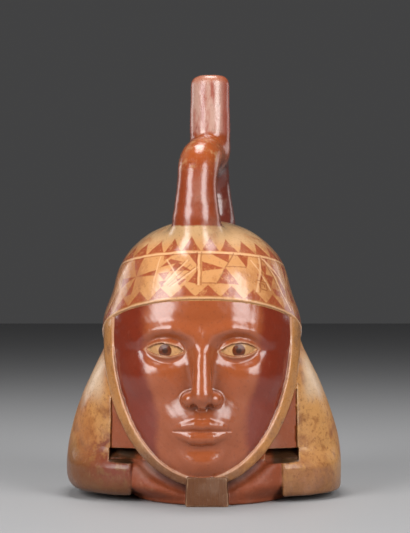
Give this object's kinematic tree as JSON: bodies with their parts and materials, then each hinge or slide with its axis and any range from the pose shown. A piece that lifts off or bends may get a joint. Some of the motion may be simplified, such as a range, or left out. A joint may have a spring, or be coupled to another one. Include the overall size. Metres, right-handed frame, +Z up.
{
  "type": "portrait vessel",
  "caption": "Hollow moulded clay bottle shaped as a head in a patterned cap, chin strap and head cloth, with a hooped handle-tube and a spout on its crown.",
  "frame": {"origin": "on the ground plane under the middle of the flat foot, below the crown of the head", "axes": "+Z up through the spout; the face looks towards -Y; +X is to the right of a viewer who faces the vessel"},
  "size_m": [0.19, 0.1592, 0.2883],
  "materials": {
    "burnished_clay": "burnished, unglazed, painted in cream, ochre, orange and dark red slips"
  },
  "bodies": {
    "root": {"portrait_vessel": "burnished_clay"}
  },
  "joints": []
}
